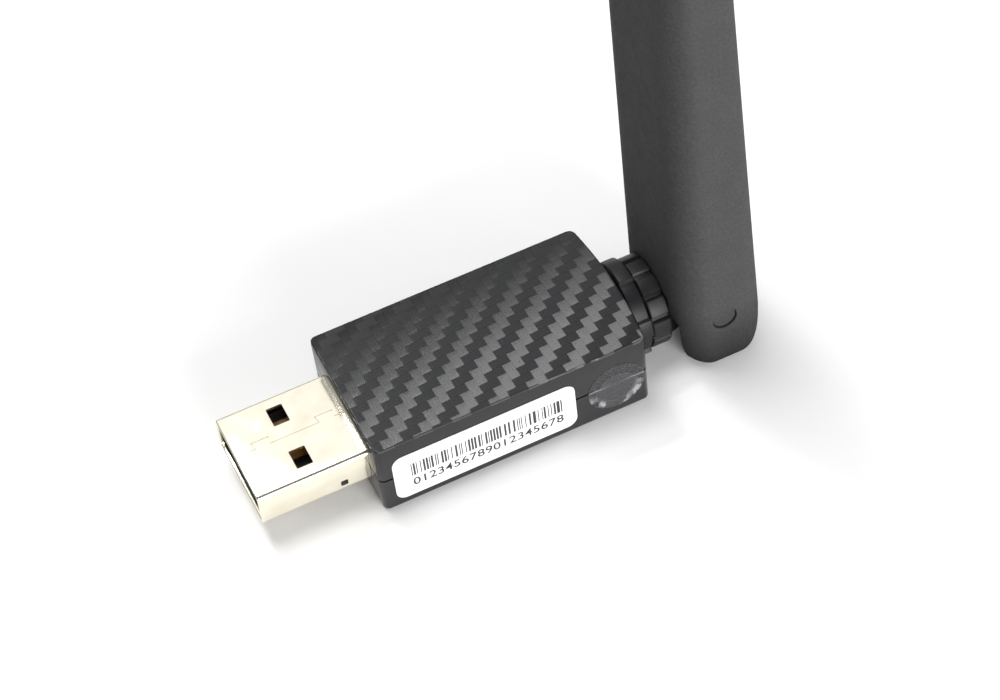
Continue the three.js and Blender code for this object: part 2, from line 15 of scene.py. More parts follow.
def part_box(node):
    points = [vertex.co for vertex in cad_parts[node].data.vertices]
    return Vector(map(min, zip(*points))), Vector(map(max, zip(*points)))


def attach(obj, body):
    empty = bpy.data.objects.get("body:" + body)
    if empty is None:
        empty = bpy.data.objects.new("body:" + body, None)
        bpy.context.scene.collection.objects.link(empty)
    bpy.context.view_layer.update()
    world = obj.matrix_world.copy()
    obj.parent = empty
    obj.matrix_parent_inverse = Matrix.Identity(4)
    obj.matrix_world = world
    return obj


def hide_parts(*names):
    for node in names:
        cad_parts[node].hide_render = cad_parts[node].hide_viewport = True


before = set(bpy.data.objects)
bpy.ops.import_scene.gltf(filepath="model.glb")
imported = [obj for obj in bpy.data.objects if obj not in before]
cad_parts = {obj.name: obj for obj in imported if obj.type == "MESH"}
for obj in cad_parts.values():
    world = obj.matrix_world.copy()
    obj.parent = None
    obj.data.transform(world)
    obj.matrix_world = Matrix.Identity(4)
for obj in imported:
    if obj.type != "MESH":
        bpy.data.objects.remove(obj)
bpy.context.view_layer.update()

MM = 0.001


# ------------------------------------------------------------------ camera

CAMERA_ANGLES = (-19.234, 50.796, -7.866)  # azimuth, elevation and roll, in degrees
CAMERA_TARGET = (2.46, -0.14, 7.02)
CAMERA_DISTANCE = 305
SENSOR_WIDTH, LENS = 36, 103.74


def make_camera():
    """Camera at the photograph's viewing angle, turned a little about its own axis."""
    azimuth, elevation, roll = map(math.radians, CAMERA_ANGLES)
    target, distance = Vector(CAMERA_TARGET) * MM, CAMERA_DISTANCE * MM
    back = Vector((
        math.sin(azimuth) * math.cos(elevation),
        -math.cos(azimuth) * math.cos(elevation),
        math.sin(elevation),
    ))
    level_right = Vector((math.cos(azimuth), math.sin(azimuth), 0))
    level_up = back.cross(level_right)
    right = level_right * math.cos(roll) + level_up * math.sin(roll)
    up = back.cross(right)
    data = bpy.data.cameras.new("camera")
    data.sensor_width, data.lens = SENSOR_WIDTH, LENS
    data.clip_start, data.clip_end = 0.01, 20
    camera = bpy.data.objects.new("camera", data)
    turn = Matrix((right, up, back)).transposed().to_4x4()
    camera.matrix_world = Matrix.Translation(target + back * distance) @ turn
    bpy.context.scene.collection.objects.link(camera)
    bpy.context.scene.camera = camera


make_camera()


# ------------------------------------------------------------------ sizes read from the frame


def box_mm(node):
    low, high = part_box(node)
    return low / MM, high / MM


plug_low, plug_high = box_mm("usb_shell")
plate_low, plate_high = box_mm("top_plate")
lower_low, lower_high = box_mm("lower_shell")
upper_low, upper_high = box_mm("upper_shell")
label_low, label_high = box_mm("serial_label")
seal_low, seal_high = box_mm("clear_seal")
bush_low, bush_high = box_mm("swivel_bush")
knuckle_low, _ = box_mm("knuckle")
sheath_low, sheath_high = box_mm("antenna_sheath")
cap_low, cap_high = box_mm("antenna_tip_cap")
pin_low, pin_high = box_mm("hinge_pin_label_side")

FRONT_X = plate_low.x
HALF_WIDTH = plate_high.y
REAR_BOW = 0.65  # how far the rear face bulges at its middle
REAR_X = plate_high.x - REAR_BOW
CASE_CORNER = 0.7
CASE_WALL = 1.1
PARTING_Z = (lower_high.z + upper_low.z) / 2
AXIS_Z = PARTING_Z  # of the plug and the swivel

PIVOT_X, PIVOT_Z = (pin_low.x + pin_high.x) / 2, (pin_low.z + pin_high.z) / 2
PIN_HOLE = 1.42  # radius
PAST = 1  # how far a cutter reaches past what it cuts


# ------------------------------------------------------------------ mesh helpers


def new_object(name, vertices, faces):
    mesh = bpy.data.meshes.new(name)
    mesh.from_pydata([tuple(c * MM for c in v) for v in vertices], [], faces)
    mesh.validate()
    thing = bpy.data.objects.new(name, mesh)
    bpy.context.scene.collection.objects.link(thing)
    return thing


def outward(thing):
    """Turns every face of a closed mesh to look outwards."""
    work = bmesh.new()
    work.from_mesh(thing.data)
    bmesh.ops.recalc_face_normals(work, faces=work.faces)
    work.to_mesh(thing.data)
    work.free()
    return thing


def loft(name, rings, looped=False):
    """Closed skin through rings of equal length. Its last ring joins its first, or both are capped."""
    n = len(rings[0])
    vertices = [p for ring in rings for p in ring]
    faces = []
    pairs = list(zip(range(len(rings) - 1), range(1, len(rings))))
    if looped:
        pairs.append((len(rings) - 1, 0))
    for a, b in pairs:
        for i in range(n):
            j = (i + 1) % n
            faces.append((a * n + i, a * n + j, b * n + j, b * n + i))
    if not looped:
        faces.append(tuple(reversed(range(n))))
        faces.append(tuple(range((len(rings) - 1) * n, len(rings) * n)))
    return outward(new_object(name, vertices, faces))


def rounded(u0, u1, v0, v1, radius, steps=8, radius_v=None):
    """Rectangle outline with round or oval corners, as (u, v) points."""
    radius = max(radius, 0.02)
    radius_v = max(radius_v or radius, 0.02)
    points = []
    corners = [(u1 - radius, v1 - radius_v), (u0 + radius, v1 - radius_v),
               (u0 + radius, v0 + radius_v), (u1 - radius, v0 + radius_v)]
    for quarter, (cu, cv) in enumerate(corners):
        for i in range(steps + 1):
            a = (quarter + i / steps) * math.pi / 2
            points.append((cu + radius * math.cos(a), cv + radius_v * math.sin(a)))
    return points


def round_over(start, end, radius, steps=5, first=True, last=True):
    """(place, inset) stations from start to end, with round edges at the chosen ends."""
    sign = 1 if end > start else -1
    edge = []  # how far in from the end, and the inset there
    for i in range(steps + 1):
        a = math.pi / 2 * i / steps
        edge.append((sign * radius * (1 - math.cos(a)), radius * (1 - math.sin(a))))
    stations = [(start + step, inset) for step, inset in edge] if first else [(start, 0)]
    stations += [(end - step, inset) for step, inset in reversed(edge)] if last else [(end, 0)]
    return stations


def prism_z(name, outline, z0, z1):
    return loft(name, [[(x, y, z) for x, y in outline] for z in (z0, z1)])


def prism_y(name, outline, y0, y1):
    return loft(name, [[(x, y, z) for x, z in outline] for y in (y0, y1)])


def prism_x(name, outline, x0, x1):
    return loft(name, [[(x, y, z) for y, z in outline] for x in (x0, x1)])


def circle(radius, cu=0.0, cv=0.0, count=64):
    angles = [2 * math.pi * i / count for i in range(count)]
    return [(cu + radius * math.cos(a), cv + radius * math.sin(a)) for a in angles]


def bake(thing):
    """Applies the modifiers of a mesh object."""
    bpy.context.view_layer.update()
    graph = bpy.context.evaluated_depsgraph_get()
    mesh = bpy.data.meshes.new_from_object(thing.evaluated_get(graph))
    thing.modifiers.clear()
    old, thing.data = thing.data, mesh
    bpy.data.meshes.remove(old)
    mesh.name = thing.name


def carve(thing, *tools, operation="DIFFERENCE"):
    """Cuts the tools out of a mesh, or joins them on, and removes them."""
    for tool in tools:
        step = thing.modifiers.new("carve", "BOOLEAN")
        step.operation, step.solver, step.object = operation, "EXACT", tool
    bake(thing)
    for tool in tools:
        mesh = tool.data
        bpy.data.objects.remove(tool)
        bpy.data.meshes.remove(mesh)
    return thing


def finish_piece(thing, body, material, replaced=(), sharp=35):
    """Shades a piece, gives it its material and lets it ride on its body."""
    thing.data.materials.clear()
    thing.data.materials.append(material)
    for face in thing.data.polygons:
        face.use_smooth = True
        face.material_index = 0
    thing.data.set_sharp_from_angle(angle=math.radians(sharp))
    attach(thing, body)
    if replaced:
        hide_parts(*replaced)


# ------------------------------------------------------------------ material helpers


class Nodes:
    """A node tree with short ways to add and join nodes."""

    def __init__(self, name):
        self.material = bpy.data.materials.new(name)
        self.material.use_nodes = True
        self.tree = self.material.node_tree
        self.shader = self.tree.nodes["Principled BSDF"]

    def add(self, kind, **settings):
        node = self.tree.nodes.new(kind)
        for key, value in settings.items():
            setattr(node, key, value)
        return node

    def link(self, source, target):
        self.tree.links.new(source, target)

    def drive(self, **sources):
        """Links to the shader's own sockets; an underscore stands for a space."""
        for key, source in sources.items():
            self.link(source, self.shader.inputs[key.replace("_", " ")])

    def set(self, **values):
        """Constants on the shader's own sockets; an underscore stands for a space."""
        for key, value in values.items():
            self.shader.inputs[key.replace("_", " ")].default_value = value

    def math(self, operation, a, b=None):
        node = self.add("ShaderNodeMath", operation=operation)
        for socket, value in zip(node.inputs, (a, b)):
            if value is None:
                continue
            if isinstance(value, (int, float)):
                socket.default_value = value
            else:
                self.link(value, socket)
        return node.outputs[0]

    def place(self, stretch=(1, 1, 1)):
        """Coordinates in metres in the object's frame, stretched along the axes."""
        where = self.add("ShaderNodeTexCoord").outputs["Object"]
        if stretch == (1, 1, 1):
            return where
        mapping = self.add("ShaderNodeMapping")
        mapping.inputs["Scale"].default_value = stretch
        self.link(where, mapping.inputs["Vector"])
        return mapping.outputs["Vector"]

    def axis(self, name):
        """Place along X, Y or Z in the object's frame, in millimetres."""
        split = self.add("ShaderNodeSeparateXYZ")
        self.link(self.place(), split.inputs[0])
        return self.math("MULTIPLY", split.outputs[name], 1 / MM)

    def noise(self, size_mm, detail=3.0, stretch=(1, 1, 1), roughness=0.5):
        node = self.add("ShaderNodeTexNoise")
        node.inputs["Scale"].default_value = 1000 / size_mm
        node.inputs["Detail"].default_value = detail
        node.inputs["Roughness"].default_value = roughness
        self.link(self.place(stretch), node.inputs["Vector"])
        return node.outputs["Fac"]

    def span(self, value, low, high, at=(0.3, 0.7)):
        """Runs from low to high as the value goes between the two ends of `at`."""
        node = self.add("ShaderNodeMapRange")
        ends = {"From Min": at[0], "From Max": at[1], "To Min": low, "To Max": high}
        for key, number in ends.items():
            node.inputs[key].default_value = number
        self.link(value, node.inputs["Value"])
        return node.outputs["Result"]

    def mix(self, factor, a, b, blend="MIX"):
        node = self.add("ShaderNodeMix", data_type="RGBA", blend_type=blend)
        factor_socket, a_socket, b_socket = node.inputs[0], node.inputs[6], node.inputs[7]
        for socket, value in ((factor_socket, factor), (a_socket, a), (b_socket, b)):
            if isinstance(value, (int, float)):
                socket.default_value = value
            elif isinstance(value, tuple):
                socket.default_value = (*value, 1)
            else:
                self.link(value, socket)
        return node.outputs[2]

    def tint(self, colour, shade):
        """A colour times a shade."""
        return self.mix(1.0, colour, shade, "MULTIPLY")

    def bump(self, height, depth_mm):
        node = self.add("ShaderNodeBump")
        node.inputs["Strength"].default_value = 1.0
        node.inputs["Distance"].default_value = depth_mm * MM
        self.link(height, node.inputs["Height"])
        return node.outputs["Normal"]


def moulded(name, dark, light, rough, grain_mm=0.25, depth_mm=0.01, foot=None, **constants):
    """Moulded plastic: colour blotches, a spark-eroded grain and patches of wear in the gloss.

    `foot` paints shade on the lowest stretch, darker towards z 0: (share of the colour that is left at z 0,
    height in mm).
    """
    n = Nodes(name)
    grain = n.noise(grain_mm, 3, roughness=0.6)
    colour = n.mix(n.span(n.noise(3.5, 4), 0, 1), dark, light)
    colour = n.tint(colour, n.span(grain, 0.86, 1.14))
    if foot:
        left, height = foot
        # painted shade: the colour darkens towards z 0
        colour = n.tint(colour, n.span(n.axis("Z"), left, 1, (0, height)))
    n.drive(Base_Color=colour, Roughness=n.span(n.noise(1.6, 4), *rough), Normal=n.bump(grain, depth_mm))
    n.set(**constants)
    return n.material


def plated(name, dark, light, rough, stretch=(1, 1, 1), streak_mm=0.12, depth_mm=0.004):
    """Plated or rolled metal: fine drawn streaks and faint handling marks."""
    n = Nodes(name)
    streaks = n.noise(streak_mm, 4, stretch)
    stains = n.noise(2.2, 4)
    colour = n.mix(n.span(stains, 0, 1), dark, light)
    n.drive(Base_Color=n.tint(colour, n.span(streaks, 0.985, 1.01)),
            Roughness=n.span(n.mix(0.5, streaks, stains), *rough), Normal=n.bump(streaks, depth_mm))
    n.set(Metallic=1.0)
    return n.material


# ------------------------------------------------------------------ materials

plug_metal = plated("plug_nickel", (0.86, 0.80, 0.655), (0.91, 0.865, 0.735), (0.11, 0.16),
                    stretch=(0.15, 1, 1), streak_mm=0.2, depth_mm=0.0006)
spring_metal = plated("spring_steel", (0.55, 0.56, 0.58), (0.68, 0.69, 0.7), (0.25, 0.42))
gold_plate = plated("gold_plate", (0.30, 0.19, 0.08), (0.42, 0.28, 0.13), (0.3, 0.45))
copper = plated("copper", (0.62, 0.32, 0.19), (0.76, 0.43, 0.28), (0.28, 0.5))
case_plastic = moulded("case_plastic", (0.006, 0.006, 0.007), (0.009, 0.009, 0.010), (0.12, 0.2),
                       grain_mm=0.18, depth_mm=0.002)
hinge_plastic = moulded("hinge_plastic", (0.007, 0.007, 0.008), (0.011, 0.011, 0.012), (0.4, 0.5),
                        grain_mm=0.2, depth_mm=0.005, Specular_IOR_Level=0.25)
# the lowest 9 mm of the paddle get painted shade, darker towards the floor
paddle_plastic = moulded("paddle_plastic", (0.046, 0.046, 0.0475), (0.050, 0.050, 0.0515), (0.72, 0.80),
                         grain_mm=0.35, depth_mm=0.008, foot=(0.3, 9), Specular_IOR_Level=0.08)
black_plastic = moulded("black_plastic", (0.008, 0.008, 0.009), (0.014, 0.014, 0.015), (0.4, 0.55))
chip_black = moulded("chip_black", (0.012, 0.012, 0.013), (0.02, 0.02, 0.021), (0.5, 0.65))
ceramic = moulded("ceramic", (0.42, 0.3, 0.19), (0.55, 0.42, 0.3), (0.45, 0.6))
board_resist = moulded("board_resist", (0.012, 0.09, 0.045), (0.02, 0.13, 0.065), (0.3, 0.42),
                       grain_mm=0.4, depth_mm=0.004)
cord_jacket = moulded("cord_jacket", (0.01, 0.01, 0.011), (0.018, 0.018, 0.019), (0.4, 0.55))
foam = moulded("foam", (0.015, 0.015, 0.017), (0.04, 0.04, 0.043), (0.85, 0.98),
               grain_mm=0.5, depth_mm=0.12)
label_film = moulded("label_film", (0.70, 0.70, 0.69), (0.74, 0.74, 0.73), (0.4, 0.55),
                     grain_mm=0.3, depth_mm=0.003)
ink = moulded("label_ink", (0.010, 0.010, 0.011), (0.022, 0.022, 0.024), (0.45, 0.6),
              grain_mm=0.15, depth_mm=0.002)

TOW = 1.094  # width of one carbon tow
TWILL_X, TWILL_Y = -4.2 - TOW / 2, -2.5 - TOW  # corner of one bright float
ROW_TILT, COLUMN_LEAN = math.tan(math.radians(2.5)), math.tan(math.radians(-1.5))
RIBS = 5  # filament bundles that show in one tow


def twill_place(x, y):
    """Place on the cloth, in tows: columns run along Y and rows along X."""
    return (x - TWILL_X - COLUMN_LEAN * y) / TOW, (y - TWILL_Y - ROW_TILT * x) / TOW


def twill_material():
    """Two-over-two carbon twill; the tows along Y catch the light and the ones along X stay dark, helped by
    a lighter painted tone on the tows along Y.
    """
    n = Nodes("carbon_film")
    x, y = n.axis("X"), n.axis("Y")

    def tows(value, start, slope, other):
        shifted = n.math("SUBTRACT", n.math("SUBTRACT", value, start), n.math("MULTIPLY", other, slope))
        return n.math("DIVIDE", shifted, TOW)

    def across(value):
        return n.math("SUBTRACT", n.math("FRACT", value), 0.5)

    def ribs(value):
        return n.math("SINE", n.math("MULTIPLY", value, 2 * math.pi * RIBS))

    u, v = tows(x, TWILL_X, COLUMN_LEAN, y), tows(y, TWILL_Y, ROW_TILT, x)
    phase = n.math("FLOORED_MODULO", n.math("SUBTRACT", n.math("FLOOR", v), n.math("FLOOR", u)), 4)
    along_y = n.math("LESS_THAN", phase, 1.5)
    along_x = n.math("SUBTRACT", 1, along_y)

    def either(a, b):
        """One value on the tows along Y and the other on the tows along X."""
        return n.math("ADD", n.math("MULTIPLY", along_y, a), n.math("MULTIPLY", along_x, b))

    rib = either(ribs(u), ribs(v))
    side = n.math("ABSOLUTE", n.math("MULTIPLY", either(across(u), across(v)), 2))
    seam = n.span(side, 1, 0.35, (0.8, 1.0))  # darker where a tow meets its neighbour
    fibre = n.noise(0.12, 3)
    # painted sheen: the tows along Y get a lighter base colour, and the rib stripes are painted light and
    # shade over the rib bump
    weave_colour_and_painted_sheen = n.mix(along_y, (0.010, 0.0105, 0.012), (0.013, 0.0135, 0.015))
    weave_colour_and_painted_sheen = n.tint(weave_colour_and_painted_sheen, n.math("MULTIPLY", seam, n.span(rib, 0.78, 1.12, (-1, 1))))
    weave_colour_and_painted_sheen = n.tint(weave_colour_and_painted_sheen, n.span(fibre, 0.85, 1.15))
    grain = n.add("ShaderNodeCombineXYZ")  # direction of the filaments, for the stretched gloss
    n.link(along_y, grain.inputs["X"])
    n.link(along_x, grain.inputs["Y"])
    # painted sheen: the specular level rises towards the label's side and the rear, where the glint light's
    # highlight is brightest
    towards_label, towards_rear = n.span(y, 0.26, 1.08, (7.5, -3)), n.span(x, 0.75, 1.0, (-12, 12))
    painted_sheen_grade = n.math("MULTIPLY", towards_label, towards_rear)
    n.drive(Base_Color=weave_colour_and_painted_sheen, Tangent=grain.outputs[0], Roughness=n.span(fibre, 0.27, 0.34),
            Normal=n.bump(rib, 0.006), Specular_IOR_Level=either(painted_sheen_grade, 0.42))
    n.set(Anisotropic=0.86)
    return n.material


carbon_film = twill_material()

SEAL_X, SEAL_Z = (seal_low.x + seal_high.x) / 2, (seal_low.z + seal_high.z) / 2


def seal_material():
    """Thin clear polyester: see-through and glossy, with painted highlights as lighter, less clear patches
    where its lower rim and the seam lift it.
    """
    n = Nodes("clear_film")
    x = n.math("SUBTRACT", n.axis("X"), SEAL_X)
    z = n.math("SUBTRACT", n.axis("Z"), SEAL_Z)

    def reach(z_shift):
        """Distance from the seal's middle, or from a point that lies below it by that much."""
        lifted = n.math("ADD", z, z_shift)
        return n.math("SQRT", n.math("ADD", n.math("MULTIPLY", x, x), n.math("MULTIPLY", lifted, lifted)))

    # painted highlights: lighter, less clear blotches on the lower rim and a line along the parting seam
    patches = n.span(n.noise(1.3, 2), 0, 1, (0.46, 0.58))
    rim = n.span(reach(0), 0, 1, (2.1, 2.7))
    low = n.span(z, 1, 0, (-1.2, 0.6))
    rim_highlight = n.math("MULTIPLY", n.math("MULTIPLY", patches, rim), low)
    from_seam = n.math("ABSOLUTE", n.math("SUBTRACT", z, PARTING_Z - SEAL_Z))
    seam = n.math("MULTIPLY", n.span(from_seam, 1, 0, (0.04, 0.2)), n.span(reach(0), 0.15, 1, (0.8, 2.6)))
    painted_highlight = n.math("MAXIMUM", rim_highlight, n.math("MULTIPLY", seam, 0.7))
    inner = n.span(reach(0.75), 1, 0, (2.5, 2.62))  # round patch inside the rim
    clear, inner_share, highlight_share = 0.2, 0.24, 0.55
    alpha = n.math("ADD", clear, n.math("MULTIPLY", inner, inner_share))
    alpha = n.math("ADD", alpha, n.math("MULTIPLY", painted_highlight, highlight_share))
    n.drive(Base_Color=n.mix(painted_highlight, (0.07, 0.07, 0.073), (0.26, 0.26, 0.27)),
            Roughness=n.span(n.noise(1.1, 5), 0.06, 0.18), Normal=n.bump(n.noise(1.4, 2), 0.05), Alpha=alpha)
    n.set(IOR=1.55)
    return n.material


clear_film = seal_material()

CARRIED = {
    "usb_tongue": black_plastic,
    "contact_supply": gold_plate,
    "contact_data_minus": gold_plate,
    "contact_data_plus": gold_plate,
    "contact_ground": gold_plate,
    "main_board": board_resist,
    "wifi_chip": chip_black,
    "shield_can": spring_metal,
    "crystal": spring_metal,
    "voltage_regulator": chip_black,
    "power_inductor": chip_black,
    "input_capacitor": ceramic,
    "output_capacitor": ceramic,
    "front_end_chip": chip_black,
    "band_filter": ceramic,
    "coax_socket": gold_plate,
    "coax_plug": spring_metal,
    "coax_board_run": cord_jacket,
    "retaining_clip": spring_metal,
    "friction_washer": spring_metal,
    "coax_knuckle_run": cord_jacket,
    "antenna_board": board_resist,
    "dipole_lower_arm": copper,
    "dipole_upper_arm": copper,
    "coax_antenna_run": cord_jacket,
    "foam_pad": foam,
}
for node_name, look in CARRIED.items():
    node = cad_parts[node_name]
    node.data.materials.clear()
    node.data.materials.append(look)


# ------------------------------------------------------------------ plug

PLUG_CORNER = 0.6
PLUG_SHEET = 0.3
WINDOW_FROM_TIP, WINDOW_LENGTH = 5.2, 1.8
WINDOW_OFFSET, WINDOW_HALF_WIDTH = 3.125, 1.25
LATCH_FROM_CASE = (3.4, 2.6)  # far and near edge of the latch hole
LATCH_BELOW_AXIS = (1.35, 0.6)
SEAM_TEETH = ((1.06, 3.0), (8.3, 10.25))  # near and far end of each dovetail, from the case
SEAM_BASE, SEAM_CREST, SEAM_FLARE = 0.1, 1.0, 0.15
SEAM_WIDTH, SEAM_DEPTH = 0.075, 0.1
# painted shade: a thin dark sheet lines the inside of the plug's mouth
SHADE_SHEET_FACES = (0.005, 0.05)  # outer and inner, in from the sheet
SHADE_SHEET_STOP = 0.5  # short of the windows


def ribbon(points, width):
    """Outline of a band of that width along a line of (x, y) points."""
    left, right = [], []
    for i, point in enumerate(points):
        here = Vector(point)
        before = Vector(points[max(i - 1, 0)])
        after = Vector(points[min(i + 1, len(points) - 1)])
        a = (here - before).normalized() if i else (after - here).normalized()
        b = (after - here).normalized() if i < len(points) - 1 else a
        normal = Vector((-(a + b).y, (a + b).x)).normalized()
        half = width / 2 / max(normal.dot(Vector((-a.y, a.x))), 0.3)
        left.append(tuple(here + normal * half))
        right.append(tuple(here - normal * half))
    return left + right[::-1]


def plug_section(x, inset):
    y, z0, z1 = plug_high.y - inset, plug_low.z + inset, plug_high.z - inset
    return [(x, u, v) for u, v in rounded(-y, y, z0, z1, PLUG_CORNER - inset)]


def plug_openings():
    """Cutters for the windows, the latch hole on each side and the seam on the top."""
    tip, tail = plug_low.x, plug_high.x
    start = tip + WINDOW_FROM_TIP
    tools = []
    for side in (-1, 1):
        middle = side * WINDOW_OFFSET
        hole = rounded(start, start + WINDOW_LENGTH, middle - WINDOW_HALF_WIDTH, middle + WINDOW_HALF_WIDTH,
                       0.12, 3)
        tools.append(prism_z("window", hole, plug_low.z - PAST, plug_high.z + PAST))
    far, near = LATCH_FROM_CASE
    bottom, top = LATCH_BELOW_AXIS
    latch = rounded(FRONT_X - far, FRONT_X - near, AXIS_Z - bottom, AXIS_Z - top, 0.1, 3)
    tools.append(prism_y("latch", latch, plug_low.y - PAST, plug_high.y + PAST))
    line = [(tail + PAST, SEAM_BASE)]
    for near, far in SEAM_TEETH:
        line += [(FRONT_X - near - SEAM_FLARE, SEAM_BASE), (FRONT_X - near, SEAM_CREST),
                 (FRONT_X - far, SEAM_CREST), (FRONT_X - far + SEAM_FLARE, SEAM_BASE)]
    line.append((tip - PAST, SEAM_BASE))
    tools.append(prism_z("seam", ribbon(line, SEAM_WIDTH), plug_high.z - SEAM_DEPTH, plug_high.z + PAST))
    return tools


def make_plug_shell():
    """Folded sheet with rolled lips at the mouth, windows, latch holes and the dovetailed seam."""
    tip, tail = plug_low.x, plug_high.x
    lip, steps = PLUG_SHEET / 2, 8
    rings = [plug_section(tail, 0)]
    for i in range(steps + 1):  # from the outside over the lip to the inside
        a = math.pi * i / steps
        rings.append(plug_section(tip + lip * (1 - math.sin(a)), lip * (1 - math.cos(a))))
    rings.append(plug_section(tail, PLUG_SHEET))
    shell = carve(loft("plug_shell", rings, looped=True), *plug_openings())
    finish_piece(shell, "stick", plug_metal, ["usb_shell"], 30)


def make_mouth_shade_sheet():
    """Thin dark sheet inside the shell, from the mouth to just before the windows: painted shade inside the
    mouth.
    """
    mouth, end = plug_low.x + PLUG_SHEET, plug_low.x + WINDOW_FROM_TIP - SHADE_SHEET_STOP
    outer, inner = (PLUG_SHEET + depth for depth in SHADE_SHEET_FACES)
    corners = [(mouth, outer), (end, outer), (end, inner), (mouth, inner)]
    shade_sheet = loft("plug_mouth_shade_sheet", [plug_section(x, inset) for x, inset in corners], looped=True)
    finish_piece(shade_sheet, "stick", black_plastic)


make_plug_shell()
make_mouth_shade_sheet()


# ------------------------------------------------------------------ case

ROOF = 0.9
UNDERSIDE_EDGE = 0.65  # radius
GROOVE_HEIGHT, GROOVE_DEPTH = 0.1, 0.14  # shadow groove along the parting line
COLLAR_HOLE = 3.4  # radius


def rear_x(y):
    return REAR_X + REAR_BOW * (1 - (y / HALF_WIDTH) ** 2)


def case_plan(inset):
    """Plan of the case, drawn in; the number of points doesn't depend on the inset."""
    half = HALF_WIDTH
    r = CASE_CORNER
    reach = max(r - inset, 0.1)
    push = 0 if inset <= r - 0.1 else inset - (r - 0.1)
    points = []
    for i in range(25):
        y = (half - r) * (i / 12 - 1)
        points.append((rear_x(y) - inset, y))
    corners = [(rear_x(half - r) - r, half - r, 0), (FRONT_X + r, half - r, 1),
               (FRONT_X + r, r - half, 2), (rear_x(half - r) - r, r - half, 3)]
    for cx, cy, quarter in corners:
        for i in range(1, 9):
            a = (quarter + i / 8) * math.pi / 2
            x = cx + reach * math.cos(a) - push * (1 if quarter in (0, 3) else -1)
            y = cy + reach * math.sin(a) - push * (1 if quarter in (0, 1) else -1)
            points.append((x, y))
    return points[:-1]


def case_shell(name, profile):
    """Half shell through (z, inset) stations, open for the plug and the bush."""
    shell = loft(name, [[(x, y, z) for x, y in case_plan(inset)] for z, inset in profile])
    gap, behind_wall = 0.09, CASE_WALL + 0.5
    mouth = rounded(plug_low.y - gap, plug_high.y + gap, plug_low.z - gap, plug_high.z + gap,
                    PLUG_CORNER + gap)
    return carve(shell, prism_x("mouth", mouth, FRONT_X - PAST, FRONT_X + behind_wall),
                 prism_x("collar", circle(COLLAR_HOLE, 0, AXIS_Z), REAR_X - behind_wall, REAR_X + 2))


def make_case():
    """Two half shells with a shadow groove along the parting line and a rounded underside."""
    low = lower_high.z
    profile = round_over(lower_low.z, low - GROOVE_HEIGHT, UNDERSIDE_EDGE, 6, last=False)
    profile += [(low - GROOVE_HEIGHT + 0.02, 0.05), (low - GROOVE_HEIGHT + 0.03, GROOVE_DEPTH),
                (low, GROOVE_DEPTH), (low, CASE_WALL), (CASE_WALL, CASE_WALL)]
    lower = case_shell("case_lower_shell", profile)
    finish_piece(lower, "stick", case_plastic, ["lower_shell"], 30)
    start, top = upper_low.z, upper_high.z
    profile = [(top - ROOF, CASE_WALL), (start, CASE_WALL), (start, GROOVE_DEPTH),
               (start + 0.05, GROOVE_DEPTH), (start + 0.06, 0.04), (start + 0.1, 0),
               (top - 0.1, 0), (top - 0.03, 0.03), (top, 0.1)]
    upper = case_shell("case_upper_shell", profile)
    finish_piece(upper, "stick", case_plastic, ["upper_shell"], 30)


make_case()

WEAVE_RELIEF = 0.014
PLATE_EDGE = 0.09  # radius of the plate's upper edge
PLATE_COLUMNS, PLATE_ROWS = 330, 184


def twill_relief(x, y):
    """Height of the woven surface, from 0 in the gaps to 1 on the crown of a float."""
    u, v = twill_place(x, y)
    column, row = math.floor(u), math.floor(v)
    phase = (row - column) % 4
    if phase < 2:
        across, along = u - column - 0.5, v - (row - phase) - 1
    else:
        across, along = v - row - 0.5, u - (column - 3 + phase) - 1
    crown = math.sqrt(max(0.0, 1 - (1.9 * across) ** 2))
    crest = 1 - min(abs(along), 1) ** 5
    return 0.55 * crown + 0.45 * crest


def plate_half_width(s):
    """Half the plate's width at a distance from its front, less at the corners."""
    d = min(s, REAR_X - FRONT_X - s)
    if d >= CASE_CORNER:
        return HALF_WIDTH
    return HALF_WIDTH - CASE_CORNER + math.sqrt(CASE_CORNER ** 2 - (CASE_CORNER - d) ** 2)


def plate_vertices():
    length, top = REAR_X - FRONT_X, plate_high.z
    vertices = []
    for i in range(PLATE_COLUMNS + 1):
        s = length * i / PLATE_COLUMNS
        half = plate_half_width(s)
        for j in range(PLATE_ROWS + 1):
            y = half * (2 * j / PLATE_ROWS - 1)
            x = FRONT_X + s + REAR_BOW * (1 - (y / HALF_WIDTH) ** 2) * s / length
            rim = min(s, length - s, half - abs(y))
            drop = 0
            if rim <= PLATE_EDGE:
                drop = PLATE_EDGE - math.sqrt(max(PLATE_EDGE ** 2 - (PLATE_EDGE - rim) ** 2, 0))
            vertices.append((x, y, top - WEAVE_RELIEF * (1 - twill_relief(x, y)) - drop * 0.6))
    return vertices


def make_top_plate():
    """Thin plate over the whole top, with the woven relief as real floats."""
    columns, rows, stride = PLATE_COLUMNS, PLATE_ROWS, PLATE_ROWS + 1
    vertices, faces = plate_vertices(), []
    for i in range(columns):
        for j in range(rows):
            a = i * stride + j
            faces.append((a, a + stride, a + stride + 1, a + 1))
    border = list(range(rows)) + [i * stride + rows for i in range(columns)]
    border += [columns * stride + j for j in range(rows, 0, -1)]
    border += [i * stride for i in range(columns, 0, -1)]
    first, n = len(vertices), len(border)
    vertices += [(vertices[index][0], vertices[index][1], plate_low.z) for index in border]
    for k in range(n):
        faces.append((border[k], border[(k + 1) % n], first + (k + 1) % n, first + k))
    faces.append(tuple(range(first, first + n)))
    plate = outward(new_object("carbon_top_plate", vertices, faces))
    finish_piece(plate, "stick", carbon_film, ["top_plate"], 60)


make_top_plate()


# ------------------------------------------------------------------ label and seal

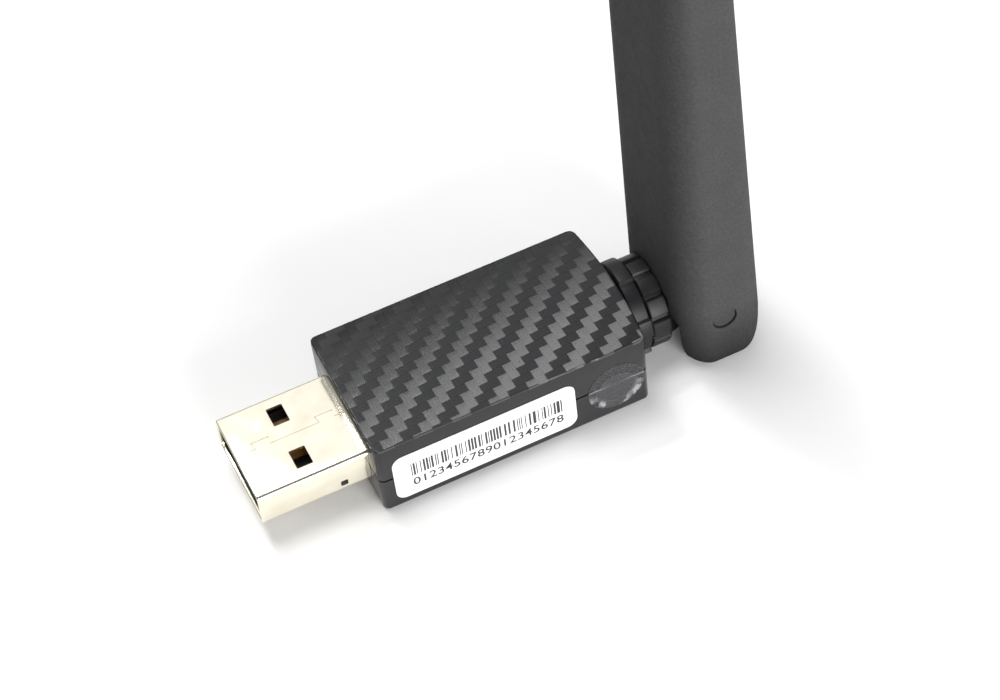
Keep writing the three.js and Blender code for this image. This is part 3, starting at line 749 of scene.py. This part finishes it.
LABEL_CORNER = 1.2
LABEL_FACE = label_low.y + 0.012  # the printing stands on this
PRINT_START, PRINT_END = label_low.x + 2.0, label_high.x - 1.6
BAR_BOTTOM, BAR_TOP = label_low.z + 3.05, label_low.z + 5.05
BAR_MODULE = 0.115
DIGITS, DIGIT_SIZE, DIGIT_BASE = "0123456789012345678", 1.62, label_low.z + 1.45


def make_label_film():
    rings = []
    for y, inset in round_over(label_high.y, LABEL_FACE, 0.03, 3, first=False):
        outline = rounded(label_low.x + inset, label_high.x - inset,
                          label_low.z + inset, label_high.z - inset, LABEL_CORNER - inset)
        rings.append([(x, y, z) for x, z in outline])
    finish_piece(loft("label_sheet", rings), "stick", label_film, ["serial_label"], 40)


def make_label_bars():
    """A made-up pattern of bars, each one a thin box."""
    rng = random.Random(7)
    vertices, faces = [], []
    x = PRINT_START
    while x < PRINT_END:
        width = BAR_MODULE * rng.choice((1, 1, 1, 2, 2, 3))
        far = min(x + width, PRINT_END)
        k = len(vertices)
        for y in (LABEL_FACE + 0.01, LABEL_FACE - 0.006):
            vertices += [(x, y, BAR_BOTTOM), (far, y, BAR_BOTTOM), (far, y, BAR_TOP), (x, y, BAR_TOP)]
        faces += [(k, k + 1, k + 2, k + 3), (k + 7, k + 6, k + 5, k + 4)]
        for a in range(4):
            b = (a + 1) % 4
            faces.append((k + a, k + 4 + a, k + 4 + b, k + b))
        x += width + BAR_MODULE * rng.choice((1, 1, 2, 2, 3))
    finish_piece(outward(new_object("label_bars", vertices, faces)), "stick", ink)


def make_label_digits():
    """Counting digits, stretched to the width of the bars."""
    text = bpy.data.curves.new("digits", "FONT")
    text.body = DIGITS
    text.size, text.space_character = DIGIT_SIZE * MM, 1.06
    text.extrude, text.offset = 0.003 * MM, 0.02 * MM
    line = bpy.data.objects.new("digits", text)
    bpy.context.scene.collection.objects.link(line)
    bpy.context.view_layer.update()
    mesh = bpy.data.meshes.new_from_object(line.evaluated_get(bpy.context.evaluated_depsgraph_get()))
    bpy.data.objects.remove(line)
    places = [v.co.x for v in mesh.vertices]
    stretch = (PRINT_END - PRINT_START) * MM / (max(places) - min(places))
    mesh.transform(Matrix.Diagonal((stretch, 1.0, 1.0, 1.0)))
    mesh.transform(Matrix.Rotation(math.radians(90), 4, "X"))
    mesh.transform(Matrix.Translation(Vector((PRINT_START, LABEL_FACE - 0.003, DIGIT_BASE)) * MM))
    digits = bpy.data.objects.new("label_digits", mesh)
    bpy.context.scene.collection.objects.link(digits)
    finish_piece(digits, "stick", ink)


make_label_film()
make_label_bars()
make_label_digits()


def seal_lift(x, z, radius):
    """How far the sticker stands off the case at a place on it."""
    r = math.hypot(x - SEAL_X, z - SEAL_Z)
    if r > radius - 0.05:
        return 0.005

    def hump(height, offset, width):
        return height * math.exp(-((offset / width) ** 2))

    lift = 0.03 + hump(0.03, r - radius + 0.18, 0.12)  # a bead round the rim
    lift += hump(0.022, r - 2.05, 0.1)  # an inner ring
    lift += hump(0.02, z - PARTING_Z, 0.25)  # a rise over the parting line
    lift += 0.008 * math.sin(2.3 * x + 1.1 * z) * math.sin(1.9 * z - 0.7 * x)
    return min(max(lift, 0.004), 0.095)


def make_seal():
    """Round clear sticker: a bead round its rim, a faint inner ring and a rise over the parting line."""
    radius = (seal_high.x - seal_low.x) / 2
    skin = seal_high.y
    rounds, spokes = 34, 120
    places = [(SEAL_X, SEAL_Z)]
    for i in range(1, rounds + 1):
        places += circle(radius * i / rounds, SEAL_X, SEAL_Z, spokes)
    vertices = [(x, skin - seal_lift(x, z, radius), z) for x, z in places]
    vertices += [(x, skin - 0.001, z) for x, z in places[-spokes:]]
    faces = []
    for k in range(spokes):
        faces.append((0, 1 + k, 1 + (k + 1) % spokes))
    for i in range(rounds):  # the last round is the sticker's edge
        a, b = 1 + i * spokes, 1 + (i + 1) * spokes
        for k in range(spokes):
            j = (k + 1) % spokes
            faces.append((a + k, b + k, b + j, a + j))
    faces.append(tuple(range(len(vertices) - spokes, len(vertices))))
    seal = outward(new_object("seal_sticker", vertices, faces))
    finish_piece(seal, "stick", clear_film, ["clear_seal"], 60)


make_seal()


# ------------------------------------------------------------------ swivel

RIM_START, RIM_END = 16.4, bush_high.x
RIM_RADIUS, RIM_GROOVE = bush_high.y, 0.5
RIM_TEETH = [(34, 100), (152, 175), (214, 280), (332, 355)]  # from and to, in degrees
BUSH_BORE, BUSH_SLEEVE, BUSH_FLANGE = 2.67, 3.3, 3.8  # radii
FLANGE_WIDTH = 1.07

HEAD_START, HEAD_END = 18.2, 20.4
HEAD_RADIUS, HEAD_GROOVE = 5.12, 0.4
HEAD_TEETH = [(30 * i + 11.5, 30 * i + 34.5) for i in range(12)]
NECK_RADIUS, CLIP_GROOVE_RADIUS, CABLE_BORE = 2.6, 2.1, 0.95
CLIP_GROOVE = (11.9, 12.5)  # start and end
BARREL_RADIUS, BARREL_HALF = 3.6, 3.7
ARM_HALF = 3.55
POCKET_HALF = 1.3


def tooth_radius(angle, teeth, high, low, shoulder=1.3):
    """Radius at an angle in degrees, high on the teeth and low between, with soft shoulders."""
    best = 0.0
    for a, b in teeth:
        middle, half = (a + b) / 2, (b - a) / 2
        off = abs((angle - middle + 180) % 360 - 180)
        t = min(max((half + shoulder - off) / (2 * shoulder), 0), 1)
        best = max(best, t * t * (3 - 2 * t))
    return low + (high - low) * best


def toothed_ring(x, inset, teeth, high, low, floor=-math.inf, count=360):
    """Ring with teeth round the swivel axis, flat below where it would reach under the floor."""
    points = []
    for i in range(count):
        angle = 360 * i / count
        r = tooth_radius(angle, teeth, high, low) - inset
        a = math.radians(angle)
        points.append((x, r * math.cos(a), max(AXIS_Z + r * math.sin(a), floor + inset)))
    return points


def ring_x(x, radius, count=360):
    return [(x, u, v) for u, v in circle(radius, 0, AXIS_Z, count)]


def make_bush():
    """Castellated bush: flange and sleeve inside the case, toothed rim behind it."""
    start = bush_low.x
    flange_end = start + FLANGE_WIDTH
    rings = [ring_x(start, BUSH_BORE), ring_x(start, BUSH_FLANGE), ring_x(flange_end, BUSH_FLANGE),
             ring_x(flange_end, BUSH_SLEEVE), ring_x(RIM_START + 0.1, BUSH_SLEEVE)]
    for x, inset in round_over(RIM_START, RIM_END, 0.16, 4):
        rings.append(toothed_ring(x, inset, RIM_TEETH, RIM_RADIUS, RIM_RADIUS - RIM_GROOVE, bush_low.z))
    rings.append(ring_x(RIM_END, BUSH_BORE))
    bush = loft("swivel_rim_bush", rings, looped=True)
    finish_piece(bush, "stick", hinge_plastic, ["swivel_bush"], 35)


def make_knuckle():
    """Neck, castellated head, arm and hinge barrel, with the cable's pocket."""
    start = knuckle_low.x
    groove_start, groove_end = CLIP_GROOVE
    neck = [(start, NECK_RADIUS - 0.2), (start + 0.2, NECK_RADIUS), (groove_start, NECK_RADIUS),
            (groove_start, CLIP_GROOVE_RADIUS), (groove_end, CLIP_GROOVE_RADIUS), (groove_end, NECK_RADIUS),
            (HEAD_START + 0.3, NECK_RADIUS)]
    part = loft("swivel_knuckle", [ring_x(x, r, 96) for x, r in neck])
    head = loft("head", [toothed_ring(x, inset, HEAD_TEETH, HEAD_RADIUS, HEAD_RADIUS - HEAD_GROOVE)
                         for x, inset in round_over(HEAD_START, HEAD_END, 0.22, 4)])
    root = HEAD_END - 0.3
    arm_outline = [(root, AXIS_Z - 3), (PIVOT_X, PIVOT_Z - 3.35), (PIVOT_X, PIVOT_Z + 3.35),
                   (root, AXIS_Z + 2.65)]
    arm = prism_y("arm", arm_outline, -ARM_HALF, ARM_HALF)
    barrel = loft("barrel", [[(u, y, v) for u, v in circle(BARREL_RADIUS - inset, PIVOT_X, PIVOT_Z, 96)]
                             for y, inset in round_over(-BARREL_HALF, BARREL_HALF, 0.3, 4)])
    carve(part, head, arm, barrel, operation="UNION")
    mouth, low, out = PIVOT_X - 4, 1.7, 5  # the pocket opens from the bore to behind and above the barrel
    pocket = [(mouth, AXIS_Z - CABLE_BORE), (PIVOT_X + 0.6, PIVOT_Z - low), (PIVOT_X + out, PIVOT_Z - low),
              (PIVOT_X + out, PIVOT_Z + out), (PIVOT_X - low, PIVOT_Z + out), (PIVOT_X - low, PIVOT_Z + 0.6),
              (mouth, AXIS_Z + CABLE_BORE)]
    carve(part, prism_y("pocket", pocket, -POCKET_HALF, POCKET_HALF),
          prism_x("bore", circle(CABLE_BORE, 0, AXIS_Z, 32), start - PAST, PIVOT_X - 3),
          prism_y("pin_hole", circle(PIN_HOLE, PIVOT_X, PIVOT_Z, 48), -8, 8))
    finish_piece(part, "swivel", hinge_plastic, ["knuckle"], 32)


make_bush()
make_knuckle()


# ------------------------------------------------------------------ paddle

PADDLE_BACK = sheath_low.x
PADDLE_THICKNESS, TIP_THICKNESS = 10.25, 6.6
PADDLE_HALF_WIDTH = sheath_high.y
PADDLE_HEIGHT = cap_high.z
PADDLE_CORNER = (3.3, 4.6)  # reach of its oval corners in x and in y
FOOT_ENDS, FOOT_SIDES = (1.2, 6.5), (0.9, 3.8)  # rounding at the foot: inset, height
FORK_HALF_GAP = 3.9  # between the cheeks, where the barrel turns
HEAD_HALF_ROOM = 5.8  # between the cheeks' feet, beside the rim and the head
SLOT_ROOF = 3.95
HEAD_SWEEP = PIVOT_X - HEAD_END - 0.1
CAP_CROWN, CAP_WALL = 1.3, 1.4


def paddle_ring(z, inset_x=0.0, inset_y=0.0):
    """Section at a height: a rectangle with oval corners, thinner towards the tip."""
    depth = PADDLE_THICKNESS + (TIP_THICKNESS - PADDLE_THICKNESS) * z / PADDLE_HEIGHT
    corner_x = min(PADDLE_CORNER[0] * depth / PADDLE_THICKNESS, depth / 2 - 0.02) - 0.6 * inset_x
    corner_y = PADDLE_CORNER[1] - 0.6 * inset_y
    outline = rounded(PADDLE_BACK + inset_x, PADDLE_BACK + depth - inset_x,
                      inset_y - PADDLE_HALF_WIDTH, PADDLE_HALF_WIDTH - inset_y, corner_x, 16, corner_y)
    return [(x, y, z) for x, y in outline]


def fork_room(name, radius, first, last, back_sill, front_sill, half):
    """Cutter for the foot: an arc round the pivot, open to the back, the front and below."""
    out = 20
    points = []
    for i in range(25):
        a = math.radians(first + (last - first) * i / 24)
        points.append((radius * math.cos(a), radius * math.sin(a)))
    points += [(-out, back_sill), (-out, -out), (out, -out), (out, front_sill)]
    if first == 0:
        points.append((PADDLE_THICKNESS - 4.2, front_sill))
    return prism_y(name, [(PIVOT_X + x, PIVOT_Z + z) for x, z in points], -half, half)


def quarter_inset(rounding, z):
    """Inset at a height above the foot, along a quarter of an ellipse."""
    inset, height = rounding
    return inset * (1 - math.sqrt(1 - max(1 - z / height, 0) ** 2))


def make_sheath():
    """Tapered housing, open below as a fork round the knuckle's barrel."""
    foot, top = sheath_low.z, sheath_high.z
    side_height = FOOT_SIDES[1]
    steps, rings = 16, []
    for i in range(steps + 1):
        z = side_height * (1 - math.cos(math.pi / 2 * i / steps))
        rings.append(paddle_ring(foot + z, quarter_inset(FOOT_ENDS, z), quarter_inset(FOOT_SIDES, z)))
    z = foot + side_height + 1.5
    while z < top - 1.6:
        rings.append(paddle_ring(z))
        z += 3
    rings += [paddle_ring(top - 0.12), paddle_ring(top - 0.03, 0.03, 0.03), paddle_ring(top, 0.1, 0.1)]
    sheath = loft("antenna_housing", rings)
    head_sill = HEAD_SWEEP * math.sin(math.radians(192))
    cable_hole = [(PIVOT_X - 1, PIVOT_Z), (PIVOT_X + 1, PIVOT_Z), (PIVOT_X + 1, PIVOT_Z + 6),
                  (PIVOT_X - 1, PIVOT_Z + 6)]
    carve(sheath, fork_room("barrel_room", SLOT_ROOF, 0, 163, 1.05, -3.6, FORK_HALF_GAP),
          fork_room("head_room", HEAD_SWEEP, 270, 192, head_sill, -HEAD_SWEEP, HEAD_HALF_ROOM),
          prism_y("pin_hole", circle(PIN_HOLE, PIVOT_X, PIVOT_Z, 64), -9, 9),
          prism_y("cable", cable_hole, -1, 1))
    finish_piece(sheath, "paddle", paddle_plastic, ["antenna_sheath"], 32)


def make_cap():
    """Tip of the paddle: a plug inside the housing, a fine seam and a rounded crown."""
    seam = sheath_high.z
    stations = [(cap_low.z, CAP_WALL), (seam, CAP_WALL), (seam + 0.03, 0.1), (seam + 0.06, 0.03),
                (seam + 0.15, 0)]
    for i in range(9):
        a = math.pi / 2 * i / 8
        stations.append((PADDLE_HEIGHT - CAP_CROWN * (1 - math.sin(a)), CAP_CROWN * (1 - math.cos(a))))
    cap = loft("antenna_end_cap", [paddle_ring(z, inset, inset) for z, inset in stations])
    finish_piece(cap, "paddle", paddle_plastic, ["antenna_tip_cap"], 32)


def make_pin(name, side, node):
    """Stub pin pressed into a cheek: its dished head lies a little below the surface."""
    inner, outer, radius = 2.0, PADDLE_HALF_WIDTH - 0.16, (pin_high.x - pin_low.x) / 2
    stations = [(inner, radius - 0.15), (inner + 0.15, radius), (outer - 0.14, radius),
                (outer - 0.04, radius - 0.06), (outer, radius - 0.18), (outer - 0.02, radius - 0.4),
                (outer - 0.07, radius * 0.4)]
    rings = [[(x, side * y, z) for x, z in circle(r, PIVOT_X, PIVOT_Z, 48)] for y, r in stations]
    finish_piece(loft(name, rings), "paddle", paddle_plastic, [node], 30)


make_sheath()
make_cap()
make_pin("pin_label_side", -1, "hinge_pin_label_side")
make_pin("pin_far_side", 1, "hinge_pin_far_side")


# ------------------------------------------------------------------ floor and light

LIGHT_DISTANCE = 0.8  # metres, as are the sizes of the lights
LIGHT_TARGET = (0.005, 0, 0.01)
WORLD_STRENGTH = 0.3


def make_floor():
    n = Nodes("floor")
    n.drive(Base_Color=n.mix(n.span(n.noise(60, 2), 0, 1), (0.86, 0.86, 0.86), (0.88, 0.88, 0.88)))
    n.set(Roughness=0.7)
    half, z = 3000, -0.02
    corners = [(-half, -half, z), (half, -half, z), (half, half, z), (-half, half, z)]
    floor = new_object("floor", corners, [(0, 1, 2, 3)])
    floor.data.materials.append(n.material)


def soft_light(name, direction, width, height, power):
    """Rectangular soft box that looks at the middle of the stick."""
    data = bpy.data.lights.new(name, "AREA")
    data.shape, data.size, data.size_y = "RECTANGLE", width, height
    data.energy = power
    light = bpy.data.objects.new(name, data)
    away = Vector(direction).normalized()
    turn = away.to_track_quat("Z", "Y").to_matrix().to_4x4()
    light.matrix_world = Matrix.Translation(Vector(LIGHT_TARGET) + away * LIGHT_DISTANCE) @ turn
    bpy.context.scene.collection.objects.link(light)


make_floor()
soft_light("front_box", (0.1, -0.97, 0.22), 0.5, 0.4, 8.9)
soft_light("left_back", (-0.1, 0.22, 0.97), 0.3, 0.3, 2.6)
soft_light("right_fill", (0.9, -0.3, 0.35), 0.6, 0.6, 2.0)
soft_light("back_panel", (0.2, 0.6, 0.77), 0.9, 0.9, 2.0)
soft_light("weave_glint", (-0.1, 0.525, 0.845), 0.12, 0.06, 1.15)

world = bpy.data.worlds.new("studio")
bpy.context.scene.world = world
world.use_nodes = True
background = world.node_tree.nodes["Background"]
background.inputs["Color"].default_value = (1, 1, 1, 1)
background.inputs["Strength"].default_value = WORLD_STRENGTH
bpy.context.scene.view_settings.view_transform = "Standard"
